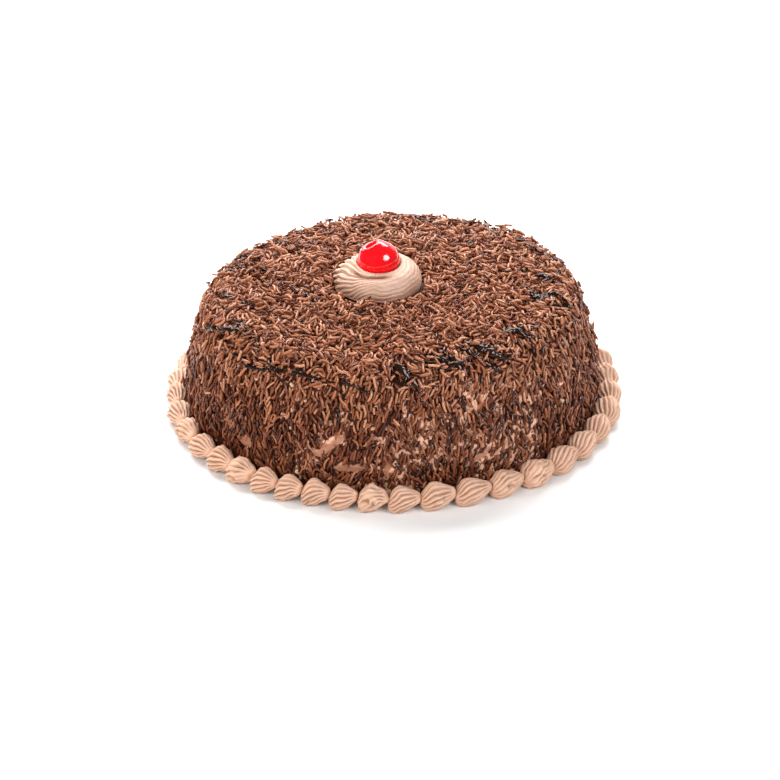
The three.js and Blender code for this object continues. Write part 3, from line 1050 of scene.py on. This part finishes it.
def makeShells(material):
    ring = shellRing
    random = evenRandom(9301)
    faces = cappedFaces(ring["rows"] - 1, ring["sides"])

    def uneven():
        return 1 + ring["unevenness"] * (2 * next(random) - 1)

    for number, (angle, width) in enumerate(shellSlots()):
        height = ring["height"] * uneven()
        depth = ring["depth"] * uneven()
        next(random)             # the solids draw one more here
        neckLift = ring["neckLift"][0] + ring["neckLift"][1] * next(random)
        radius = cakeForm["footRadius"] + ring["gap"] + depth / 2
        length = 2 * radius * math.tan(width / 2) - ring["gap"]
        smear = ring["torn"].get(number + 1, ring["smear"])
        vertices, groove = shellPoints(length, height, depth, number, neckLift, smear)
        turned = np.array(Matrix.Rotation(angle + math.pi / 2, 3, "Z"))
        vertices = vertices @ turned.T + np.array([radius * math.cos(angle), radius * math.sin(angle), 0.0])
        name = "shell_%02d" % (number + 1)
        piece = addPiece("piped_" + name, vertices, faces, material, [name])
        # painted shade in the grooves and holes
        paintPoints(piece, "groove", 0.05 + 0.95 * groove)
    print("shells:", ring["count"])


# The rosette: a swirl of cream about the cherry, combed from the left, where the piping broke off.
# Spans are in degrees from the left, where something sets in and where it ends.
rosetteForm = {
    "base": 68.3,
    "sides": (92, 26),       # points over its outer side, and over its inside and base
    "steps": 270,            # points round it
    "foot": 21.6,            # radius where it meets the cake
    "crest": (12.3, 12.3),   # radius and height
    "comb": 2.1,             # mm from ridge to ridge where they circle
    "combRise": 0.88,        # how the ridges cut across its height
    "combDepth": 0.47,       # and its depth from front to back
    "combSpan": ((-100, -50), (45, 95)),
    "fan": 9.5,              # degrees from ridge to ridge on the left
    "focus": (-1.5, -1.0),   # where the ridges of the left meet, across and up as seen from the front
    "ridgeDepth": (0.2, 1.7),     # on the right and on the left
    "fineRidges": 0.25,      # share of the finer ridges that lie between
    "wobble": (8.0, 2.6),    # width of the ridges' bends, and how far they turn
    "tremble": (2.6, 0.3),
    "rough": ((5.0, 0.3), (1.6, 0.1)),      # width and height of the lumps of its surface
    "ridgeSpan": ((-70, -30), (60, 125)),
    "climb": 2.5,            # ridges climbed on the way round the right
    "tooth": 1.8,            # mm that the broken ridges stick out on the left
    "lip": 1.4,              # step where the last of the cream ends at the cherry
    "lipEdge": 0.84,         # share of the way from the foot to the crest
    "lipSpan": ((15, 45), (95, 125)),
    "frontDip": 1.0,         # how much lower the crest is at the front
    "leftRise": 1.2,         # and how much higher on the left
    "frontBulge": 0.4,       # how far its foot swells out at the front
    "sunk": 1.0,             # how deep its foot sits in the sprinkles
}


def rosetteBulge(angle):
    away = (angle - math.radians(280) + math.pi) % fullTurn - math.pi
    return rosetteForm["frontBulge"] * np.exp(-((away / math.radians(42)) ** 2))


def rosetteSection():
    # distance from the middle, height, and a share that is 0 at the foot, 1 at the crest, and on to 2
    foot = (rosetteForm["foot"], -rosetteForm["sunk"])
    crest = rosetteForm["crest"]
    outer = bezierPoints([foot, (22.9, 1.6), (21.6, 10.2), crest], 60)
    inner = np.array([crest, (11.5, 12.0), (11.3, 10.6), (10.8, 8.2), (9.4, 5.2), (7.4, 3.0), (6.6, 0.3),
                      (6.6, foot[1]), (13.0, foot[1]), foot])
    places = []
    for line, count, start in zip((outer, inner), rosetteForm["sides"], (0.0, 1.0)):
        run = runLength(line)
        even = np.linspace(0.0, run[-1], count, endpoint=False)
        share = start + even / run[-1]
        places.append(np.stack([np.interp(even, run, line[:, 0]), np.interp(even, run, line[:, 1]), share]))
    return np.concatenate(places, axis=1)


def makeRosette(material):
    form = rosetteForm
    radius, height, upward = rosetteSection()
    angle = evenTurn(form["steps"])[:, None]
    x = radius * np.cos(angle)
    y = radius * np.sin(angle)
    z = height + np.zeros_like(x)
    points = np.stack([x, y, z], axis=-1)
    wobbleSize, wobbling = form["wobble"]
    trembleSize, trembling = form["tremble"]
    wobble = lumpsOver(points / wobbleSize)
    outside = 1.0 - smoothStep(upward, 1.0, 1.04)
    fromLeft = np.degrees(angle) - 180.0      # negative over the back
    # ridges fan out on the left and circle the rest
    combed = hump(fromLeft, *form["combSpan"])
    across = x - form["focus"][0]
    upright = form["combRise"] * z + form["combDepth"] * y - form["focus"][1]
    fanned = np.degrees(np.arctan2(upright, np.maximum(-across, 0.5))) / form["fan"]
    circling = (form["combRise"] * height - form["combDepth"] * radius) / form["comb"]
    circling = circling - form["climb"] * fromLeft / 180.0
    flow = between((circling, fanned), combed)
    turn = fullTurn * flow + wobbling * wobble + trembling * lumpsOver(points / trembleSize)
    groove = between((grooveShape(turn), grooveShape(3.0 * turn + 2.0)), form["fineRidges"])
    groove = groove * (outside * smoothStep(upward, 0.0, 0.04))
    spread = smoothStep(np.hypot(across, upright), 4.0, 13.0)
    onLeft = hump(fromLeft, *form["ridgeSpan"]) * (0.12 + 0.88 * spread)
    # the cream laid last ends in a lip below the cherry
    lipEdge = form["lipEdge"] + 0.07 * wobble
    lip = hump(upward, (lipEdge - 0.3, lipEdge), (lipEdge, lipEdge + 0.02)) * hump(fromLeft, *form["lipSpan"])
    normal = np.cross(np.stack([-y, x, np.zeros_like(x)], axis=-1), np.gradient(points, axis=1))
    normal /= np.maximum(np.linalg.norm(normal, axis=2), 1e-6)[:, :, None]
    points = points - normal * (form["lip"] * lip + groove * between(form["ridgeDepth"], onLeft))[:, :, None]
    # the crest is lower at the front and higher on the left, and the foot swells out at the front
    atFront = smoothStep(-np.sin(angle), -0.2, 0.9) * hump(upward, (0.6, 1.0), (1.2, 1.5))
    piled = np.exp(-(((fromLeft - 10.0) / 45.0) ** 2)) * hump(upward, (0.5, 1.0), (1.2, 1.5))
    bulge = rosetteBulge(angle) * (1.0 - smoothStep(upward, 0.35, 0.8)) * outside
    teeth = form["tooth"] * smoothStep(-x, 14.0, 22.0) * outside * (1.0 - groove) ** 2 * (0.8 + 0.9 * wobble)
    points[:, :, 0] += bulge * np.cos(angle) - teeth
    points[:, :, 1] += bulge * np.sin(angle)
    points[:, :, 2] += form["leftRise"] * piled - form["frontDip"] * atFront
    points = points.reshape(-1, 3)
    (wide, high), (fine, low) = form["rough"]
    points = points + high * shake(points, wide) + low * shake(points, fine, (0, 5, 0))
    points[:, 2] = np.maximum(points[:, 2], -form["sunk"])
    vertices = points + np.array([*rosettePlace, form["base"]])
    faces = tubeFaces(form["steps"], sum(form["sides"]), joined=True)
    piece = addPiece("piped_rosette", vertices, faces, material, ["rosette"])
    # painted shade in the grooves, under the lip and toward the foot, and painted light making the combed
    # left paler
    shadedFoot = 0.45 * (1.0 - smoothStep(upward + 0.1 * wobble, 0.05, 0.4))
    shade = np.maximum(groove * (0.2 + 0.55 * onLeft), lip) + shadedFoot * outside
    paintPoints(piece, "groove", (0.23 - 0.21 * combed + 0.8 * shade).ravel())
    print("rosette:", len(faces), "faces")


# The cherry: a flattened ball with a soft lip about its stem dimple
cherryForm = {
    "radius": 11.0,
    "height": 20.4,
    "roundness": 0.92,       # lower makes a fuller side
    "dimple": 4.2,
    "dimpleDepth": 4.2,
    "lip": 1.1,
    "lipRadius": 5.25,
    "lipWidth": 1.5,
    "tilt": math.radians(28),
    "turn": math.radians(160),
    "middle": 80.45,
    "unevenness": ((7.0, 0.018), (2.5, 0.002)),      # width of the lumps, and share of the size
    "rows": 60,
    "sides": 84,
}
cherryFinish = {
    "light": photoColour(246, 6, 22),
    "deep": photoColour(170, 2, 10),
    "clouds": (240.0, 0.4),
    "rough": (0.12, 0.22),
    "surface": {
        "Subsurface Weight": 0.3,
        "Subsurface Radius": (1.0, 0.08, 0.06),
        "Subsurface Scale": 0.003,
        "Specular IOR Level": 0.1,
        "Coat Weight": 1.0,
        "Coat IOR": 1.45,
        "Coat Roughness": 0.07,
    },
    "bump": (0.03, 0.0005),
}


def makeCherryMaterial():
    finish = cherryFinish
    material, tree, shader, mottled = mottledMaterial("cherry_skin", finish, "dimpleShade")
    addBump(tree, shader, mottled["Cloud"], *finish["bump"])
    return material


def spunPoints(radius, height, sides):
    # rows of points round the upright axis
    turn = evenTurn(sides)
    radius = radius[:, None]
    rows = [radius * np.cos(turn), radius * np.sin(turn), height[:, None] + np.zeros(sides)]
    return np.stack(rows, axis=-1).reshape(-1, 3)


def makeCherry():
    form = cherryForm
    sides = form["sides"]
    turn = np.linspace(-math.pi / 2, math.pi / 2, form["rows"])
    radius = form["radius"] * np.cos(turn) ** form["roundness"]
    near = np.exp(-((radius / form["dimple"]) ** 2) * 1.3) * (turn > 0)
    rim = np.exp(-(((radius - form["lipRadius"]) / form["lipWidth"]) ** 2)) * (turn > 0)
    height = form["height"] / 2 * np.sin(turn) - form["dimpleDepth"] * near + form["lip"] * rim
    points = spunPoints(radius[1:-1], height[1:-1], sides)
    points *= 1.0 + layered(points, form["unevenness"])[:, None]
    vertices = np.concatenate([points, [[0, 0, height[0]], [0, 0, height[-1]]]])
    axis = Vector((-math.sin(form["turn"]), math.cos(form["turn"]), 0.0))
    tilted = np.array(Matrix.Rotation(form["tilt"], 3, axis))
    vertices = vertices @ tilted.T + np.array([*rosettePlace, form["middle"]])
    faces = cappedFaces(form["rows"] - 2, sides, rising=True)
    piece = addPiece("glazed_cherry", vertices, faces, makeCherryMaterial(), ["cherry"])
    # painted shade, darker in the stem dimple
    dimpleShade = np.repeat(0.1 + 0.6 * near[1:-1], sides)
    paintPoints(piece, "dimpleShade", np.concatenate([dimpleShade, [0.1, 0.7]]))
    print("cherry:", len(faces), "faces")


# A few pale crumbs caught in the coat, each at a distance from the middle and an angle
crumbForm = {
    "places": [(104.0, -120), (146.5, -116.5), (98.0, -70), (128.0, -38), (90.0, -135), (120.0, 60)],
    "radius": 1.0,
    "lift": 0.9,
    "unevenness": 1.1,
    "rows": 7,
    "sides": 10,
    "light": photoColour(222, 180, 154),
    "deep": photoColour(184, 132, 104),
    "clouds": (900.0, 0.8),
    "rough": (0.6, 0.8),
    "surface": {},
}


def makeCrumbs():
    form = crumbForm
    polar = np.linspace(0.0, math.pi, form["rows"] + 2)[1:-1]
    ball = spunPoints(np.sin(polar), np.cos(polar), form["sides"])
    ball = np.concatenate([ball, [[0.0, 0.0, 1.0], [0.0, 0.0, -1.0]]])
    vertices = []
    faces = []
    for number, (arc, angle) in enumerate(form["places"]):
        place, downhill, around, outward = onCake(np.array([arc]), np.array([math.radians(angle)]))
        swell = 1.0 + form["unevenness"] * lumpsOver(ball + np.array([number * 4, 0, 0]))
        vertices.append(place[0] + outward[0] * form["lift"] + form["radius"] * ball * swell[:, None])
        faces += cappedFaces(form["rows"], form["sides"], number * len(ball))
    material = mottledMaterial("crumb", form, 0.3)[0]
    addPiece("crumbs", np.concatenate(vertices), faces, material)
    print("crumbs:", len(form["places"]))


# Table, light and camera, in metres
stageSetup = {
    "table": {"Base Color": (0.86, 0.86, 0.86, 1.0), "Roughness": 0.6},
    "tableReach": 6.0,
    "sky": 0.18,
    "aim": (0.0, 0.0, 0.04),
    # place, size, power, whether it lights the cake, and whether it shows as a glint
    "lamps": {
        "key": ((0.9, -0.75, 0.95), (0.8, 0.6), 10.6, True, False),
        "glint": ((0.84, -0.7, 0.89), (1.0, 0.8), 38.0, False, True),
        "fill": ((-1.0, -1.1, 0.9), (2.0, 1.6), 25.2, True, False),
        "overhead": ((-0.2, 0.95, 1.15), (2.4, 0.8), 55.0, True, True),
        "backdrop": ((0.0, 1.9, 0.8), (4.0, 1.5), 21.0, True, True),
    },
}


def makeStage():
    scene = bpy.context.scene
    material, tree, shader = startMaterial("table_top")
    feed(tree, shader, stageSetup["table"])
    mesh = bpy.data.meshes.new("table_top")
    edge = stageSetup["tableReach"]
    corners = [(-edge, -edge, 0), (edge, -edge, 0), (edge, edge, 0), (-edge, edge, 0)]
    mesh.from_pydata(corners, [], [(0, 1, 2, 3)])
    mesh.materials.append(material)
    table = bpy.data.objects.new("table_top", mesh)
    scene.collection.objects.link(table)
    world = bpy.data.worlds.new("studio")
    world.use_nodes = True
    sky = {"Color": (1.0, 1.0, 1.0, 1.0), "Strength": stageSetup["sky"]}
    feed(world.node_tree, world.node_tree.nodes["Background"], sky)
    scene.world = world
    for name, (place, size, power, lights, glints) in stageSetup["lamps"].items():
        lamp = bpy.data.lights.new(name, "AREA")
        lamp.shape = "ELLIPSE"
        lamp.size, lamp.size_y = size
        lamp.energy = power
        holder = bpy.data.objects.new(name, lamp)
        holder.location = place
        holder.visible_diffuse = lights
        holder.visible_glossy = glints
        aim = Vector(stageSetup["aim"]) - Vector(place)
        holder.rotation_euler = aim.to_track_quat("-Z", "Y").to_euler()
        scene.collection.objects.link(holder)
    scene.view_settings.view_transform = "Standard"
    print("stage:", len(stageSetup["lamps"]), "lamps")


cameraSetup = {
    "elevation": math.radians(28.3),
    "roll": math.radians(-1.0),
    "distance": 1.2,                 # metres to the middle of the base
    "focal": 2280.0,                 # in pixels of a picture 780 wide
    "picture": 780.0,
    "baseAt": (393.6, 397.5),        # pixel where the middle of the base shows
    "sensor": 36.0,
}


def makeCamera():
    setup = cameraSetup
    lift = setup["elevation"]
    forward = Vector((0.0, math.cos(lift), -math.sin(lift)))
    level = Vector((1.0, 0.0, 0.0))
    upright = Vector((0.0, math.sin(lift), math.cos(lift)))
    cosine = math.cos(setup["roll"])
    sine = math.sin(setup["roll"])
    right = cosine * level + sine * upright
    up = cosine * upright - sine * level
    centre = setup["picture"] / 2
    across = (setup["baseAt"][0] - centre) / setup["focal"] * setup["distance"]
    down = (setup["baseAt"][1] - centre) / setup["focal"] * setup["distance"]
    place = -(across * right - down * up + setup["distance"] * forward)
    lens = bpy.data.cameras.new("camera")
    lens.sensor_width = setup["sensor"]
    lens.lens = setup["focal"] / setup["picture"] * setup["sensor"]
    camera = bpy.data.objects.new("camera", lens)
    turned = Matrix((right, up, -forward)).transposed()
    camera.matrix_world = Matrix.Translation(place) @ turned.to_4x4()
    bpy.context.scene.collection.objects.link(camera)
    bpy.context.scene.camera = camera
    print("camera:", setup["distance"], "m away")


makeCamera()
makeStage()
makeIcing()
strandsLaid = makeSprinkles()
makeDrizzle(strandsLaid)
makeShells(makeCreamMaterial("shells"))
makeRosette(makeCreamMaterial("rosette"))
makeCherry()
makeCrumbs()
